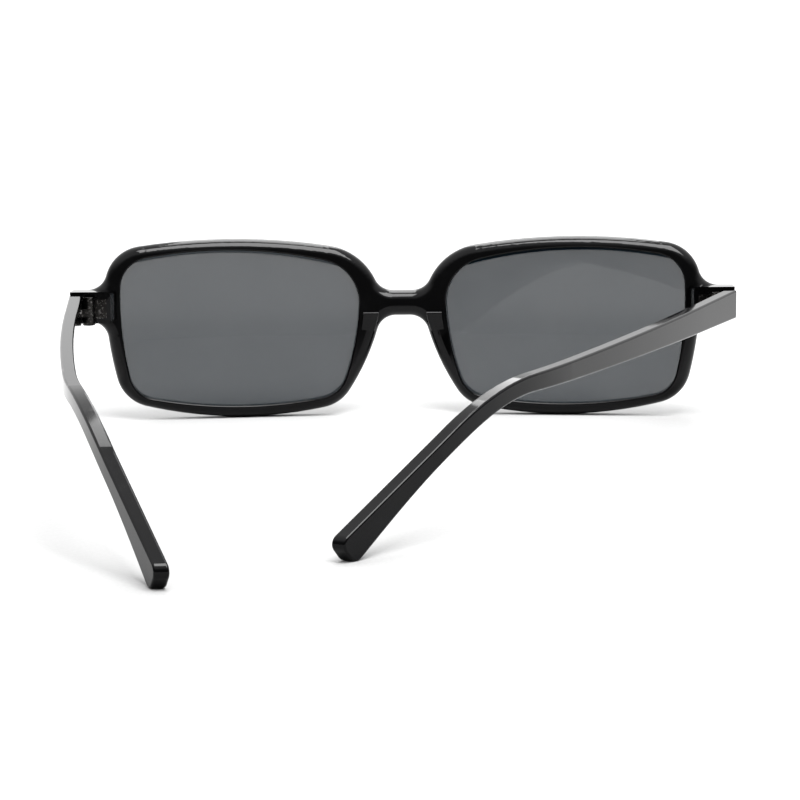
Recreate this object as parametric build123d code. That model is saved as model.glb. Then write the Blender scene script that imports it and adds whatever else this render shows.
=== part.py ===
"""Narrow rectangle sunglasses, standing on the lower edges of the rims and on the temple tips.

X runs to the wearer's left, Y from the front towards the wearer and Z up. The origin is on the
surface that the glasses stand on, under the middle of the bridge's front. Lengths are millimetres
and angles are degrees. Both temples are partly folded, the right one further than the left.
"""

import os
from math import asin, cos, radians, sin, sqrt

from build123d import *

# the front
front_thickness = 3.9
face_form_radius = 385.0
pantoscopic_angle = 4.3
bridge_width = 18.6
edge_rounding = 0.7
rear_rounding = 2.2
inner_corner_radius = 4.0

# one lens opening, as shares of its boxed width and height. The corners run from the upper
# temporal one down and round to the upper nasal one, and each bulge belongs to the side after it.
eye_width = 50.0
eye_height = 32.8
eye_bottom = 2.4
eye_corner_shares = [(0.492, 0.930), (0.446, 0.082), (-0.414, 0.066), (-0.498, 0.873)]
eye_bulge_shares = [0.028, 0.048, 0.034, 0.066]
eye_corner_radii = [6.6, 6.0, 6.6, 9.4]
eye_edge_rounding = 0.3

# the outside of one rim, in the same way, from its lowest point
rim_extra_width = 7.0
rim_extra_height = 4.5
rim_corner_shares = [(0.485, 0.946), (0.432, 0.105), (-0.366, 0.065), (-0.544, 0.896)]
rim_bulge_shares = [0.030, 0.055, 0.049, 0.056]
rim_corner_radii = [8.2, 8.2, 8.4, 13.0]

# the bridge
bridge_top = 26.4
bridge_height = 5.3

# the end pieces, which turn back to meet the temples
end_piece_length = 6.2
end_piece_overlap = 4.4
end_piece_top = 27.4
end_piece_height = 6.6
end_piece_slant_width = 1.9
joint_plane = 11.4

# the lenses
lens_thickness = 2.0
lens_radius = 260.0
lens_advance = 0.85
groove_depth = 0.7
lens_clearance = 0.03

# the nose pads
pad_top = 22.3
pad_shoulder = 0.35
pad_foot = 17.9
pad_projection = 1.5
pad_side_margin = 0.5
pad_eye_margin = 0.8
pad_rounding = 0.3

# the temples, drawn fully open
temple_thickness = 2.6
temple_rounding = 0.42
temple_gap = 0.12
butt_height = 5.9
butt_step = 0.3
flat_run = 20.0
bow_angle = 4.7
bow_radius = 770.0
inward_angle = 16.6
inward_radius = 134.0
level_run = 95.4
decline_angle = 1.0
ear_angle = 30.85
ear_radius = 44.0
ear_run = 29.9
tip_height = 5.5
tip_cut_angle = 4.0
tip_corner_radius = 1.8
tip_flare_angle = 7.0
slim_height = 3.3
neck_height = 3.3
left_fold_angle = 4.2
right_fold_angle = 24.7

# the core wires
wire_width = 0.9
wire_height = 1.3
wire_cover = 0.85
wire_start = 13.0
wire_end_margin = 8.0

# the hinges
barrel_radius = 1.25
barrel_clearance = 0.12
barrel_gap = 0.1
knuckle_height = 1.72
knuckle_gap = 0.06
screw_radius = 0.7
screw_clearance = 0.04
screw_head_radius = 1.05
screw_head_height = 0.5
screw_slot_width = 0.3
screw_slot_depth = 0.25
leaf_thickness = 0.9
leaf_height = 4.0
leaf_foot = 1.1
web_reach = 0.9
hinge_drop = 0.6
front_leaf_reach = 3.6
temple_leaf_length = 8.4
rivet_radius = 0.45
rivet_spacing = 2.8
rivet_length = 1.7
rivet_head = 0.15

# how far tools reach past what they cut, and how closely two places must agree to be one
overrun = 20.0
tolerance = 0.01

# what follows from the sizes above
eye_centre = (eye_width + bridge_width) / 2
rim_width = eye_width + rim_extra_width
rim_height = eye_height + rim_extra_height
outer_side = eye_centre + rim_width / 2 + end_piece_length
front_width = 2 * outer_side
end_piece_reach = end_piece_length + end_piece_overlap
toe_in = asin(eye_centre / face_form_radius)
lean = radians(pantoscopic_angle)
front_sag = face_form_radius * (1 - cos(toe_in))
eye_sag = (eye_width / 2) ** 2 / (2 * face_form_radius)
lift = -front_sag * sin(lean) - edge_rounding * (sin(lean) + cos(lean) - 1)
knuckle_pitch = knuckle_height + knuckle_gap
hinge_height = 2 * knuckle_pitch + knuckle_height
bore_radius = screw_radius + screw_clearance
inner_side = outer_side - temple_thickness
butt_top = end_piece_top * cos(lean) + joint_plane * sin(lean) + lift - butt_step
hinge_base = butt_top - (butt_height + hinge_height) / 2 - hinge_drop
pivot_x = inner_side - barrel_gap - barrel_radius
pivot_y = joint_plane + barrel_radius + barrel_clearance
butt_y = joint_plane + temple_gap


def worn(shape):
    """Leans something that is drawn upright with the front, top away from the wearer."""
    return Pos(0, 0, lift) * Rot(X=pantoscopic_angle) * shape


def upright(shape):
    """Undoes that lean, for a tool that is drawn in its place."""
    return Rot(X=-pantoscopic_angle) * Pos(0, 0, -lift) * shape


def mirrored(shape):
    """The same piece for the wearer's right."""
    return mirror(shape, Plane.YZ)


def block(x_range, y_range, z_range):
    """A box from three ranges."""
    low = (x_range[0], y_range[0], z_range[0])
    size = [high - start for start, high in (x_range, y_range, z_range)]
    return Pos(*low) * Box(*size, align=(Align.MIN, Align.MIN, Align.MIN))


# the front, its grooves and its pads


def rounded_quad(corners, bulges, radii):
    """A face of four sides bulged outwards between the corners, with each corner rounded."""
    sides = []
    for index, start in enumerate(corners):
        end = corners[(index + 1) % len(corners)]
        across, up = end[0] - start[0], end[1] - start[1]
        reach = bulges[index] / sqrt(across**2 + up**2)
        middle = ((start[0] + end[0]) / 2 - up * reach, (start[1] + end[1]) / 2 + across * reach)
        sides.append(ThreePointArc(start, middle, end))
    face = make_face(sides)
    for corner, radius in zip(corners, radii):
        vertex = face.vertices().sort_by_distance((*corner, 0))[0]
        face = fillet(vertex, radius)
    return face


def widened(face, growth):
    """A face that keeps one distance from another all round, its sides plain lines and arcs."""
    sides = []
    for edge in offset(face, growth).edges():
        start, middle, end = edge @ 0, edge @ 0.5, edge @ 1
        straight = edge.geom_type == GeomType.LINE
        sides.append(Line(start, end) if straight else ThreePointArc(start, middle, end))
    return make_face(sides)


def eye_outline(growth=0.0):
    """The lens opening, or an outline that keeps one distance from it all round."""
    corners = [(out * eye_width, eye_bottom + up * eye_height) for out, up in eye_corner_shares]
    bulges = [share * eye_width for share in eye_bulge_shares]
    face = rounded_quad(corners, bulges, eye_corner_radii)
    return widened(face, growth) if growth else face


def rim_outline():
    """The outside of the left rim, in its place beside the bridge."""
    corners = [(out * rim_width, up * rim_height) for out, up in rim_corner_shares]
    bulges = [share * rim_width for share in rim_bulge_shares]
    return Pos(eye_centre, 0) * rounded_quad(corners, bulges, rim_corner_radii)


def front_outline():
    """Both rims, the bridge and the end pieces, seen from the front, inner corners rounded."""
    end_piece = Rectangle(end_piece_reach, end_piece_height, align=(Align.MAX, Align.MAX))
    bridge = Rectangle(eye_centre / 2, bridge_height, align=(Align.MIN, Align.MAX))
    half = rim_outline() + Pos(outer_side, end_piece_top) * end_piece + Pos(0, bridge_top) * bridge
    return widened(widened(half, inner_corner_radius), -inner_corner_radius)


def behind(depth):
    """All the room behind one depth below the front's curved outer surface."""
    return Pos(0, face_form_radius) * Cylinder(face_form_radius - depth, 2 * front_width)


def form_depth(point):
    """How far a point lies behind the front's curved outer surface."""
    return face_form_radius - sqrt(point.X**2 + (point.Y - face_form_radius) ** 2)


def keeps_depth(edge, depth):
    """Whether an edge of the left side stays at one depth behind the outer surface."""
    spots = [edge @ share for share in (0, 0.5, 1)]
    return spots[1].X > tolerance and all(abs(form_depth(spot) - depth) < tolerance for spot in spots)


def runs_back(edge):
    """Whether an edge is a straight one that points back and lies behind the rims."""
    heading = edge % 0.5
    pointed = abs(heading.Y) > abs(heading.X) + abs(heading.Z)
    return edge.geom_type == GeomType.LINE and pointed and form_depth(edge @ 0.5) > front_thickness


def end_block():
    """The block that carries the left end piece back to the temple, one side of it slanted."""
    root = outer_side - end_piece_reach
    rear = root + end_piece_slant_width * overrun / joint_plane
    corners = [(outer_side, -overrun), (outer_side, overrun), (rear, overrun), (root, 0), (root, -overrun)]
    plate = extrude(make_face(Polyline(*corners, close=True)), end_piece_height)
    start = (front_thickness - rear_rounding + edge_rounding) / 2
    return (Pos(0, 0, end_piece_top - end_piece_height) * plate) & behind(start)


def front_half():
    """The left half of the front, still upright, its outer edges rounded, the rear ones most."""
    outline = extrude(Plane.XZ * front_outline(), overrun, both=True)
    sheet = (outline & behind(0)) - behind(front_thickness)
    sheet = fillet([edge for edge in sheet.edges() if keeps_depth(edge, front_thickness)], rear_rounding)
    joint = block((0, front_width), (joint_plane, 3 * overrun), (-overrun, 3 * overrun))
    body = sheet + end_block() - upright(joint)
    outside = [edge for edge in body.edges() if keeps_depth(edge, 0) or runs_back(edge)]
    return fillet(outside, edge_rounding)


def eye_plane():
    """The left lens's plane: x runs to the temple, y up and z forwards."""
    back = front_sag + (front_thickness + eye_sag) / 2
    across, ahead = (cos(toe_in), sin(toe_in), 0), (sin(toe_in), -cos(toe_in), 0)
    return Plane((eye_centre, back, 0), x_dir=across, z_dir=ahead)


def eye_prism(growth=0.0):
    """A straight prism through the left lens opening."""
    return extrude(eye_plane() * eye_outline(growth), overrun, both=True)


def bevel(height):
    """A plate whose edge slopes out from the opening to a ridge on the lens's plane."""
    edge, ridge = eye_outline(), eye_outline(height)
    plate = loft([Pos(0, 0, -height) * edge, ridge, Pos(0, 0, height) * edge], ruled=True)
    return eye_plane() * plate


def front_frame():
    """The whole front with its lens openings, grooves and hinge pockets."""
    half = worn(front_half() - eye_prism())
    near = worn(eye_prism(eye_edge_rounding))
    half = fillet([edge for edge in half.edges() if near.is_inside(edge @ 0.5)], eye_edge_rounding)
    half = half - worn(bevel(groove_depth)) - front_leaf() - front_rivets()
    return half + mirrored(half)


def lens():
    """The left lens, a domed plate with a bevelled edge."""
    centre = eye_plane() * Pos(0, eye_bottom + eye_height / 2, lens_advance - lens_radius)
    outer = centre * Sphere(lens_radius + lens_thickness / 2)
    inner = centre * Sphere(lens_radius - lens_thickness / 2)
    blank = eye_prism(-lens_clearance) + bevel(groove_depth - lens_clearance)
    return worn((blank & outer) - inner)


def nose_pad():
    """The left nose pad, seated on the rounded back of the rim, within the rim's edges."""
    ridge = front_thickness + pad_projection
    corners = [(0, pad_top), (front_thickness, pad_top), (ridge, pad_top - pad_shoulder)]
    corners += [(front_thickness, pad_foot), (0, pad_foot)]
    bar = extrude(Plane.YZ * make_face(Polyline(*corners, close=True)), eye_centre)
    rim = extrude(Plane.XZ * widened(rim_outline(), -pad_side_margin), overrun, both=True)
    pad = (bar & rim & behind(front_thickness - rear_rounding)) - eye_prism(pad_eye_margin)
    proud = [edge for edge in pad.edges() if form_depth(edge @ 0.5) > front_thickness + tolerance]
    long = [edge for edge in proud if edge.length > pad_projection + pad_shoulder]
    return worn(fillet(long, pad_rounding) - front_half())


# the hinge, whose middle knuckle belongs to the temple


def hinge_barrel(radius, low, high):
    """An upright cylinder about the hinge axis, between two heights above the hinge's foot."""
    tube = Cylinder(radius, high - low, align=(Align.CENTER, Align.CENTER, Align.MIN))
    return Pos(pivot_x, pivot_y, hinge_base + low) * tube


def front_leaf():
    """The hinge half in the end piece: a sunk plate with the upper and the lower knuckle."""
    inside = pivot_x - front_leaf_reach
    heights = (hinge_base + leaf_foot, hinge_base + leaf_foot + leaf_height)
    leaf = block((inside, pivot_x + web_reach), (joint_plane - leaf_thickness, joint_plane), heights)
    for low in (0, 2 * knuckle_pitch):
        levels = (hinge_base + low, hinge_base + low + knuckle_height)
        leaf += block((pivot_x - barrel_radius, pivot_x + web_reach), (joint_plane, pivot_y), levels)
        leaf += hinge_barrel(barrel_radius, low, low + knuckle_height)
    top = 2 * knuckle_pitch
    leaf -= hinge_barrel(screw_radius, -overrun, top) + hinge_barrel(bore_radius, top, overrun)
    return leaf - front_rivets()


def temple_leaf():
    """The hinge half in the temple: a sunk plate with the middle knuckle."""
    sides = (inner_side, inner_side + leaf_thickness)
    heights = (hinge_base + leaf_foot, hinge_base + leaf_foot + leaf_height)
    leaf = block(sides, (butt_y, butt_y + temple_leaf_length), heights)
    levels = (hinge_base + knuckle_pitch, hinge_base + knuckle_pitch + knuckle_height)
    leaf += block((pivot_x, inner_side), (pivot_y - barrel_radius, pivot_y + barrel_radius), levels)
    leaf += hinge_barrel(barrel_radius, knuckle_pitch, knuckle_pitch + knuckle_height)
    return leaf - hinge_barrel(bore_radius, -overrun, overrun) - temple_rivets()


def hinge_screw():
    """The hinge screw, with its head on the upper knuckle and a slot across the head."""
    head_top = hinge_height + screw_head_height
    screw = hinge_barrel(screw_radius, 0, hinge_height)
    screw += hinge_barrel(screw_head_radius, hinge_height, head_top)
    slot = Box(2 * barrel_radius, screw_slot_width, 2 * screw_slot_depth)
    return screw - Pos(pivot_x, pivot_y, hinge_base + head_top) * slot


def rivets(start, along, away):
    """Two round pins, the first from the start, the second one spacing along, both pointing away."""
    pins = []
    for step in (0, rivet_spacing):
        place = Vector(start) + Vector(along) * step - Vector(away) * rivet_head
        pins.append(extrude(Plane(place, z_dir=away) * Circle(rivet_radius), rivet_length + rivet_head))
    return pins[0] + pins[1]


def front_rivets():
    """The two pins that hold the hinge's plate in the end piece."""
    low = hinge_base + leaf_foot + (leaf_height - rivet_spacing) / 2
    across = pivot_x - (front_leaf_reach + barrel_radius) / 2
    return rivets((across, joint_plane, low), (0, 0, 1), (0, -1, 0))


def temple_rivets():
    """The two pins that hold the hinge's plate in the temple."""
    back = pivot_y + barrel_radius + (butt_y + temple_leaf_length - pivot_y - barrel_radius - rivet_spacing) / 2
    middle = hinge_base + leaf_foot + leaf_height / 2
    return rivets((inner_side, back, middle), (0, 1, 0), (1, 0, 0))


# the temples


def plan_path(inset):
    """The temple's line seen from above: straight, slightly bowed, turned in, then straight."""
    start = (outer_side - inset, butt_y)
    straight = Line(start, (outer_side - inset, butt_y + flat_run))
    bow = JernArc(straight @ 1, straight % 1, bow_radius - inset, bow_angle)
    turn = JernArc(bow @ 1, bow % 1, inward_radius - inset, inward_angle)
    return [straight, bow, turn, Line(turn @ 1, turn @ 1 + (turn % 1) * 2 * ear_run)]


def plan_strip(inset, width):
    """The band between two such lines, as tall as the whole object."""
    outer, inner = plan_path(inset), plan_path(inset + width)
    ends = [Line(outer[0] @ 0, inner[0] @ 0), Line(outer[-1] @ 1, inner[-1] @ 1)]
    return extrude(make_face(outer + inner + ends), 2 * overrun, both=True)


def side_path(depth, run):
    """The line at one depth below the temple's top edge: nearly level, then down behind the ear."""
    fall = radians(decline_angle)
    start = Vector(butt_y, butt_top) - Vector(sin(fall), cos(fall)) * depth
    level = Line(start, start + Vector(cos(fall), -sin(fall)) * level_run)
    ear = JernArc(level @ 1, level % 1, ear_radius - depth, -ear_angle)
    return [level, ear, Line(ear @ 1, ear @ 1 + (ear % 1) * run)]


def under(path, share, height):
    """The point at one height under a share of the way along a line."""
    heading = path % share
    return path @ share + Vector(heading.Y, -heading.X) * height


def side_outline():
    """The temple seen from its side, tall at the hinge, slender before the ear, tall at the tip."""
    level, ear, drop = side_path(0, ear_run)
    butt = Vector(butt_y, butt_top - butt_height)
    slim = under(level, 1, slim_height)
    neck = under(ear, 1, neck_height)
    heading = (drop % 1).rotate(Axis.Z, -90 - tip_cut_angle)
    tip = drop @ 1 + heading * tip_height
    lower = Spline(slim, neck, tip, tangents=[slim - butt, (drop % 1).rotate(Axis.Z, -tip_flare_angle)])
    sides = [level, ear, drop, Line(drop @ 1, tip), lower, Line(slim, butt), Line(butt, level @ 0)]
    face = make_face(sides)
    for place in (drop @ 1, tip):
        face = fillet(face.vertices().sort_by_distance(place)[0], tip_corner_radius)
    return extrude(Plane.YZ * face, front_width)


def core_wire():
    """The metal wire inside the temple."""
    inset = (temple_thickness - wire_width) / 2
    deep = wire_cover + wire_height
    upper, lower = side_path(wire_cover, ear_run - wire_end_margin), side_path(deep, ear_run - wire_end_margin)
    ends = [Line(upper[0] @ 0, lower[0] @ 0), Line(upper[-1] @ 1, lower[-1] @ 1)]
    band = extrude(Plane.YZ * make_face(upper + lower + ends), front_width)
    start = block((0, front_width), (0, butt_y + wire_start), (0, 3 * overrun))
    return (band & plan_strip(inset, wire_width)) - start


def temple():
    """The temple's plastic with the cavities for its wire and its half of the hinge."""
    bar = side_outline() & plan_strip(0, temple_thickness)
    bar = fillet([edge for edge in bar.edges() if (edge @ 0.5).Y > butt_y + temple_gap], temple_rounding)
    return bar - core_wire() - temple_leaf() - temple_rivets()


def folded(shape, angle):
    """Turns a piece of the left temple inward about its hinge."""
    return Pos(pivot_x, pivot_y) * Rot(Z=angle) * Pos(-pivot_x, -pivot_y) * shape


def left_pieces():
    """Every piece of the left side and the angle it is folded by, before mirroring."""
    still = {
        "lens": lens(),
        "nose_pad": nose_pad(),
        "front_hinge_leaf": front_leaf(),
        "front_rivets": front_rivets(),
        "hinge_screw": hinge_screw(),
    }
    turning = {
        "temple": temple(),
        "core_wire": core_wire(),
        "temple_hinge_leaf": temple_leaf(),
        "temple_rivets": temple_rivets(),
    }
    return still, turning


def all_pieces():
    """Every piece of the glasses in its place, by name."""
    still, turning = left_pieces()
    pieces = {"front_frame": front_frame()}
    for name, piece in still.items():
        pieces[name + "_left"] = piece
        pieces[name + "_right"] = mirrored(piece)
    for name, piece in turning.items():
        pieces[name + "_left"] = folded(piece, left_fold_angle)
        pieces[name + "_right"] = mirrored(folded(piece, right_fold_angle))
    return pieces


if __name__ == "__main__":
    os.makedirs("parts", exist_ok=True)
    for name, piece in all_pieces().items():
        piece.label = name
        export_step(piece, f"parts/{name}.step")
        low, high = piece.bounding_box().min, piece.bounding_box().max
        print(f"{name}: {piece.volume:.1f} mm3, z {low.Z:.2f} to {high.Z:.2f}")
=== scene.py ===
# looks of the narrow rectangle sunglasses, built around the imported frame

from math import cos, pi, radians, sin

import bmesh
import bpy
import numpy as np
from mathutils import Matrix, Vector


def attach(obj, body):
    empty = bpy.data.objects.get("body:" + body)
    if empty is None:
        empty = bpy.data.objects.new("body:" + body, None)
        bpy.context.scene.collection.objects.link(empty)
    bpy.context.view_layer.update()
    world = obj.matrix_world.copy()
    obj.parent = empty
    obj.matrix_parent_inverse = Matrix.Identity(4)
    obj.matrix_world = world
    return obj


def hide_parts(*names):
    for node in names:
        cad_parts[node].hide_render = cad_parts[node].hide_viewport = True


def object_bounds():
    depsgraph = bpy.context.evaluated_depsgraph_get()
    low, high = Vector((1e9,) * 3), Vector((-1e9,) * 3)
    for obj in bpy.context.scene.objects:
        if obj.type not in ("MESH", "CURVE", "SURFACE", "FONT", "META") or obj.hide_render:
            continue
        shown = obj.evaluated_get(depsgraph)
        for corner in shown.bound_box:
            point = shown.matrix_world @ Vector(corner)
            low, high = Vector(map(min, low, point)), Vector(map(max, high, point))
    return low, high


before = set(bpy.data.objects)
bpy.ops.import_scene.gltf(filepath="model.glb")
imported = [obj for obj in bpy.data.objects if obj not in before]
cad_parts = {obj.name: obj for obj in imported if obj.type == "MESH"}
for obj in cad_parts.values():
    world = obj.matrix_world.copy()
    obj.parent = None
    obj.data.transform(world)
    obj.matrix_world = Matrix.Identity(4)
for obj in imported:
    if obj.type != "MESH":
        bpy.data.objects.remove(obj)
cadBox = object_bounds()
mm = 0.001
print("frame loaded:", len(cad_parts), "nodes")


# the camera, at the photograph's angle

view = {
    "place": (-9.10, 630.89, 122.66),                  # mm
    "heading": (0.01541565, -0.9818076, -0.18925168),
    "right": (-0.99984895, -0.01361694, -0.010801),    # to the picture's right, a little off level
    "lens": 135.84,                                    # mm
    "sensor": 36.0,                                    # mm
    "rise": 0.00936,                                   # share of the picture's width
    "sight": (0.01, 20),                               # metres, the nearest and farthest it sees
}


def makeCamera(name, values):
    data = bpy.data.cameras.new(name)
    data.lens, data.sensor_width, data.shift_y = values["lens"], values["sensor"], values["rise"]
    data.clip_start, data.clip_end = values["sight"]
    camera = bpy.data.objects.new(name, data)
    bpy.context.scene.collection.objects.link(camera)
    forward = Vector(values["heading"]).normalized()
    right = Vector(values["right"])
    up = right.cross(forward)
    turned = Matrix((right, up, -forward)).transposed().to_4x4()
    camera.matrix_world = Matrix.Translation(Vector(values["place"]) * mm) @ turned
    bpy.context.scene.camera = camera


makeCamera("viewpoint", view)
print("camera set")


# shader building


class Flow:
    # one output of a node, so that shader maths reads as plain arithmetic
    def __init__(self, tree, socket=None):
        self.tree, self.socket = tree, socket

    def node(self, kind, settings=None, values=None, output=0):
        # any node: its settings are set first, then the values or links of its sockets
        made = self.tree.nodes.new("ShaderNode" + kind)
        for name, value in (settings or {}).items():
            setattr(made, name, value)
        for name, value in (values or {}).items():
            if isinstance(value, Flow):
                self.tree.links.new(value.socket, made.inputs[name])
            else:
                made.inputs[name].default_value = value
        return Flow(self.tree, made.outputs[output] if len(made.outputs) else None)

    def math(self, operation, first, second=0.0):
        return self.node("Math", {"operation": operation}, {0: first, 1: second})

    def __add__(self, other):
        return self.math("ADD", self, other)

    def __sub__(self, other):
        return self.math("SUBTRACT", self, other)

    def __rsub__(self, other):
        return self.math("SUBTRACT", other, self)

    def __mul__(self, other):
        return self.math("MULTIPLY", self, other)

    __radd__, __rmul__ = __add__, __mul__

    def eased(self, low, high, start=0.0, end=1.0):
        # start below low, end above high, and a smooth step in between
        values = {"Value": self, "From Min": low, "From Max": high, "To Min": start, "To Max": end}
        return self.node("MapRange", {"interpolation_type": "SMOOTHSTEP"}, values)


def newMaterial(name):
    material = bpy.data.materials.new(name)
    material.use_nodes = True
    material.node_tree.nodes.clear()
    return material, Flow(material.node_tree)


def noise(flow, place, size, detail, roughness):
    # a noise whose features are about that many millimetres across
    values = {"Vector": place, "Scale": 1 / (size * mm), "Detail": detail, "Roughness": roughness}
    return flow.node("TexNoise", None, values)


def coordinate(flow, place, axis):
    return flow.node("SeparateXYZ", None, {"Vector": place}, axis)


def blended(flow, share, first, second):
    # the first colour where share is 0 and the second where it is 1, by the Mix node's colour sockets
    return flow.node("Mix", {"data_type": "RGBA"}, {0: share, 6: first, 7: second}, 2)


def finishMaterial(flow, shader):
    flow.node("OutputMaterial", None, {"Surface": shader})


# polished black plastic

polish = {
    "colour": (0.0022, 0.0022, 0.0025, 1),
    "bloom": (0.0048, 0.0048, 0.0052, 1),      # where the polish is slightly hazy
    "haze": (9.0, 3.0, 0.6),                   # mm across, detail and roughness of a noise
    "hazeStep": (0.45, 0.75),                  # of that noise, clear below and hazy above
    "hazeShare": 0.7,
    "specks": (0.6, 2.0, 0.5),
    "specksStep": (0.62, 0.80),
    "specksShare": 0.3,
    "gloss": (0.045, 0.10),                    # roughness, clean and hazy
    "index": 1.33,
    "waves": (5.0, 1.0, 0.4),                  # the long waves that hand polishing leaves
    "wavesHeight": 0.0022,                     # mm
}


def blackPlastic(name, values):
    material, flow = newMaterial(name)
    place = flow.node("TexCoord", output="Object")
    haze = noise(flow, place, *values["haze"]).eased(*values["hazeStep"])
    specks = noise(flow, place, *values["specks"]).eased(*values["specksStep"])
    cloud = haze * values["hazeShare"] + specks * values["specksShare"]
    clean, hazy = values["gloss"]
    waves = noise(flow, place, *values["waves"])
    bump = flow.node("Bump", None, {"Height": waves, "Distance": values["wavesHeight"] * mm, "Strength": 1.0})
    shader = flow.node("BsdfPrincipled", None, {
        "Base Color": blended(flow, cloud, values["colour"], values["bloom"]),
        "Roughness": cloud * (hazy - clean) + clean,
        "IOR": values["index"],
        "Normal": bump,
    })
    finishMaterial(flow, shader)
    return material


# the smoke lenses

smoke = {
    "tint": (0.012, 0.019, 0.025, 1),
    "cover": 0.715,               # what one face of the lens keeps back
    "uneven": 0.004,              # how far the cover strays
    "film": (14.0, 2.0, 0.5),     # mm across, detail and roughness of a noise
    "filmStep": (0.3, 0.7),
    "gloss": (0.02, 0.05),        # roughness, clean and smeared
    "smear": (5.0, 3.0, 0.6),
    "smearStep": (0.5, 0.8),
    "index": 1.5,
    "shadeCentre": (37.6, -59.3),        # mm, out and up: the centre of the arc along the upper rim's edge, which the painted shade follows
    "shadeRadius": 94.65,          # mm
    "paintedShadeBand": (0.35, 0.75),    # mm from that edge: painted shade, dark nearer than the first and clear past the second, standing in for the rim's shade over the lens
    "lean": 4.3,                  # degrees, how the lenses lean with the front
    "settled": -0.165,            # mm, how far they settle with it
}


def smokeLens(name, values):
    # the lens is painted darker along its upper rim's edge: a painted shade for the rim's shade over it
    # the arc's distance = its radius - sqrt(out * out + up * up), measured in the front's own leaning plane,
    # where a point's height = up * cos(lean) - back * sin(lean)
    material, flow = newMaterial(name)
    place = flow.node("TexCoord", output="Object")
    thin, thick = values["cover"] - values["uneven"], values["cover"] + values["uneven"]
    film = noise(flow, place, *values["film"]).eased(*values["filmStep"], thin, thick)
    lean = radians(values["lean"])
    shadeOut, shadeUp = values["shadeCentre"]
    out = flow.math("ABSOLUTE", coordinate(flow, place, "X")) - shadeOut * mm
    height = (coordinate(flow, place, "Z") - values["settled"] * mm) * cos(lean)
    up = height - coordinate(flow, place, "Y") * sin(lean) - shadeUp * mm
    inside = values["shadeRadius"] * mm - flow.math("SQRT", out * out + up * up)
    dark, clear = values["paintedShadeBand"]
    # painted shade: the lens keeps back more light near the upper rim's edge
    coverWithPaintedShade = film + (1.0 - film) * inside.eased(dark * mm, clear * mm, 1.0, 0.0)
    smear = noise(flow, place, *values["smear"]).eased(*values["smearStep"], *values["gloss"])
    shader = flow.node("BsdfPrincipled", None, {
        "Base Color": values["tint"],
        "Roughness": smear,
        "IOR": values["index"],
        "Alpha": coverWithPaintedShade,
    })
    finishMaterial(flow, shader)
    return material


# the hinge's metal and the core wire

hingeMetal = {
    "colour": (0.035, 0.034, 0.033, 1),
    "worn": (0.16, 0.155, 0.15, 1),
    "gloss": (0.22, 0.40),        # roughness, in the grain's lows and highs
    "grain": 0.05,                # mm, width of the drawing marks
}

wireMetal = {
    "colour": (0.42, 0.41, 0.39, 1),
    "worn": (0.55, 0.54, 0.52, 1),
    "gloss": (0.22, 0.38),
    "grain": 0.03,
}

drawing = {
    "stretch": 8.0,               # how much longer a mark is than it is wide
    "marks": (3.0, 0.6),          # detail and roughness of a noise
    "marksHeight": 0.004,         # mm
    "marksStrength": 0.6,
    "wear": (0.5, 3.0, 0.6),      # mm across, detail and roughness of a noise
    "wearStep": (0.52, 0.72),
}


def drawnMetal(name, metal, values):
    material, flow = newMaterial(name)
    place = flow.node("TexCoord", output="Object")
    stretched = flow.node("Mapping", None, {"Vector": place, "Scale": (1.0, 1.0, values["stretch"])})
    grain = noise(flow, stretched, metal["grain"] * values["stretch"], *values["marks"])
    wear = noise(flow, place, *values["wear"]).eased(*values["wearStep"])
    smooth, rough = metal["gloss"]
    bump = flow.node("Bump", None, {
        "Height": grain, "Distance": values["marksHeight"] * mm, "Strength": values["marksStrength"]})
    shader = flow.node("BsdfPrincipled", None, {
        "Base Color": blended(flow, wear, metal["colour"], metal["worn"]),
        "Metallic": 1.0,
        "Roughness": grain * (rough - smooth) + smooth,
        "Normal": bump,
    })
    finishMaterial(flow, shader)
    return material


finishes = {
    "black_plastic": blackPlastic("polishedBlack", polish),
    "smoke_lens": smokeLens("smokeGrey", smoke),
    "dark_metal": drawnMetal("hingeSteel", hingeMetal, drawing),
    "wire_metal": drawnMetal("coreWire", wireMetal, drawing),
}

nodeFinishes = {
    # how a node's name starts, and its finish; every other node is black plastic
    "lens": "smoke_lens",
    "core_wire": "wire_metal",
    "front_hinge": "dark_metal",
    "temple_hinge": "dark_metal",
    "hinge_screw": "dark_metal",
    "front_rivets": "dark_metal",
    "temple_rivets": "dark_metal",
}


def finishOf(node):
    for start, finish in nodeFinishes.items():
        if node.startswith(start):
            return finish
    return "black_plastic"


def dress(node, finish):
    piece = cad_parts[node]
    piece.data.materials.clear()
    piece.data.materials.append(finishes[finish])


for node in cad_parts:
    dress(node, finishOf(node))
print("materials set")


# the domed lenses, the same shapes with the exact shading of their two spheres

dome = {
    "centre": (11.212, 259.859, 38.227),   # mm, of the left lens's two spheres
    "radii": (259.0, 261.0),               # mm, the face towards the wearer and the outer face
    "near": 0.02,                          # mm, how close to a sphere its corners lie
    "facing": 0.99,                        # leaves out the bevelled edge
    "doubles": 0.001,                      # mm, closer corners are one
}


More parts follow.
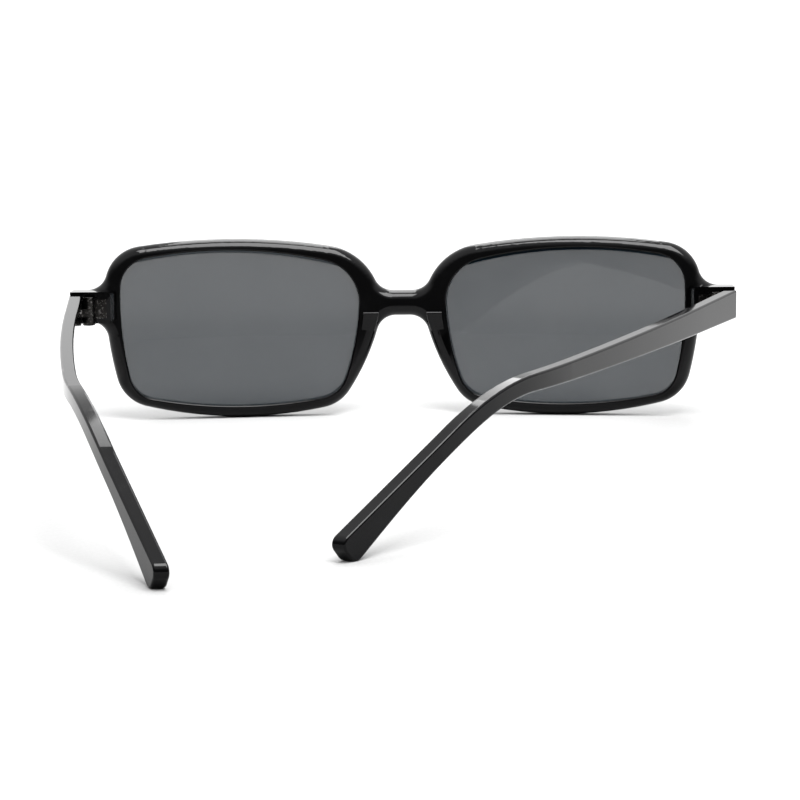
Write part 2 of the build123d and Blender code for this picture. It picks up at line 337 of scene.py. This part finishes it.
def domedLens(name, node, side, values):
    # a corner's normal = (corner - centre) / length on the outer face, and the opposite on the wearer's
    # face; on the bevelled edge it is the flat face's own. side is 1 for the left lens, -1 for the right
    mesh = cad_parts[node].data.copy()
    mesh.name = name
    merged = bmesh.new()
    merged.from_mesh(mesh)
    bmesh.ops.remove_doubles(merged, verts=merged.verts, dist=values["doubles"] * mm)
    bmesh.ops.dissolve_degenerate(merged, edges=merged.edges, dist=values["doubles"] * mm)
    merged.to_mesh(mesh)
    merged.free()
    owner = np.empty(len(mesh.loops), dtype=int)
    places = np.empty(3 * len(mesh.vertices))
    faceNormals = np.empty(3 * len(mesh.polygons))
    corners = np.empty(len(mesh.polygons), dtype=int)
    mesh.loops.foreach_get("vertex_index", owner)
    mesh.vertices.foreach_get("co", places)
    mesh.polygons.foreach_get("normal", faceNormals)
    mesh.polygons.foreach_get("loop_total", corners)
    faceNormals = np.repeat(faceNormals.reshape(-1, 3), corners, axis=0)
    normals = faceNormals.copy()
    line = places.reshape(-1, 3)[owner] - np.array(values["centre"]) * (side, 1, 1) * mm
    reach = np.linalg.norm(line, axis=1)
    line = line / reach[:, None]
    for radius, way in zip(values["radii"], (-1, 1)):
        onDome = abs(reach - radius * mm) < values["near"] * mm
        onDome = onDome & ((way * line * faceNormals).sum(axis=1) > values["facing"])
        normals[onDome] = way * line[onDome]
    mesh.normals_split_custom_set(normals.tolist())
    piece = bpy.data.objects.new(name, mesh)
    bpy.context.scene.collection.objects.link(piece)
    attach(piece, "front")
    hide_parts(node)


domedLens("smokeLensLeft", "lens_left", 1, dome)
domedLens("smokeLensRight", "lens_right", -1, dome)
print("lenses made")


# the studio

paper = {
    "side": 6.0,                            # metres, from the glasses to the floor's side and front edges
    "behind": 0.52,                         # metres, past it the bright backdrop shows
    "paintedShades": (0.54, 0.41, 0.21),           # painted shade: how pale it is behind the glasses, near the camera, far away; it is darker in front so that the plastic reflects a dimmer floor
    "stops": ((0.0, 0.15), (0.28, 1.00)),   # metres towards the camera, from one painted shade to the next
    "fibre": (0.8, 3.0, 0.6),               # mm across, detail and roughness of a noise
    "fibreStep": (0.3, 0.7),
    "fibreDepth": 0.01,                     # how far the fibre lightens and darkens it
    "roughness": 0.9,
    "shine": 0.1,
}

room = {
    "backdrop": 1.25,                       # the room's light from behind the glasses
    "cameraSide": 0.30,                     # and from the camera's side
    "sideStep": (-0.8, 0.75),               # y of the direction, from the first to the second
    "overhead": 1.40,
    "overheadStep": (0.28, 0.75),           # z of the direction, from the sides to overhead
}

lamps = {
    # place in metres, size in metres, light given off per square metre
    "softTop": ((-0.16, 0.33, 0.84), (0.52, 0.62), 11.0),
    "highStrip": ((0.01, -0.34, 0.81), (0.24, 0.44), 6.8),
    "lowStrip": ((-0.01, -0.66, 0.56), (0.30, 0.42), 3.8),
}


def paperWithPaintedShade(name, values):
    material, flow = newMaterial(name)
    place = flow.node("TexCoord", output="Object")
    near = coordinate(flow, place, "Y")
    behind, front, far = values["paintedShades"]
    first, second = values["stops"]
    # painted shade: the paper is darker towards the camera and farther away still; the fibre noise added
    # below is the paper's own
    paintedShadeAndFibre = near.eased(*first, behind, front) * near.eased(*second, 1.0, far / front)
    depth = values["fibreDepth"]
    paintedShadeAndFibre = paintedShadeAndFibre + noise(flow, place, *values["fibre"]).eased(*values["fibreStep"], -depth, depth)
    shader = flow.node("BsdfPrincipled", None, {
        "Base Color": flow.node("CombineColor", None, {0: paintedShadeAndFibre, 1: paintedShadeAndFibre, 2: paintedShadeAndFibre}),
        "Roughness": values["roughness"],
        "Specular IOR Level": values["shine"],
    })
    finishMaterial(flow, shader)
    return material


def makeFloor(values):
    side, behind = values["side"], -values["behind"]
    corners = [(-side, behind, 0), (side, behind, 0), (side, side, 0), (-side, side, 0)]
    mesh = bpy.data.meshes.new("floor")
    mesh.from_pydata(corners, [], [(0, 1, 2, 3)])
    mesh.materials.append(paperWithPaintedShade("paperWithPaintedShade", values))
    floor = bpy.data.objects.new("floor", mesh)
    floor.location = (0, 0, cadBox[0].z)
    bpy.context.scene.collection.objects.link(floor)


def makeRoom(values):
    world = bpy.data.worlds.new("studio")
    bpy.context.scene.world = world
    world.use_nodes = True
    world.node_tree.nodes.clear()
    flow = Flow(world.node_tree)
    direction = flow.node("TexCoord", output="Generated")
    ahead, up = coordinate(flow, direction, "Y"), coordinate(flow, direction, "Z")
    side = ahead.eased(*values["sideStep"], values["backdrop"], values["cameraSide"])
    light = up.eased(*values["overheadStep"]) * (values["overhead"] - side) + side
    shader = flow.node("Background", None, {"Color": (1, 1, 1, 1), "Strength": light})
    flow.node("OutputWorld", None, {"Surface": shader})


def addLamp(name, place, size, glow):
    # a soft box that gives off the same light all over and points at the glasses
    data = bpy.data.lights.new(name, "AREA")
    data.shape, data.size, data.size_y = "RECTANGLE", size[0], size[1]
    data.energy = glow * pi * size[0] * size[1]
    light = bpy.data.objects.new(name, data)
    light.location = place
    light.rotation_euler = (-Vector(place)).to_track_quat("-Z", "Y").to_euler()
    bpy.context.scene.collection.objects.link(light)


makeFloor(paper)
makeRoom(room)
for lamp, (place, size, glow) in lamps.items():
    addLamp(lamp, place, size, glow)
print("studio set")


# the photograph's print: its deepest tones are a little deeper than the light alone makes them

tones = ((0.02, 0.010), (0.04, 0.032), (0.15, 0.147), (0.40, 0.40))    # light and print, black to white

printed = bpy.context.scene.view_settings
printed.view_transform = "Standard"
printed.use_curve_mapping = True
brightness = printed.curve_mapping.curves[3]    # the curve of all three colours together
for tone in tones:
    brightness.points.new(*tone)
printed.curve_mapping.update()
print("tones set")
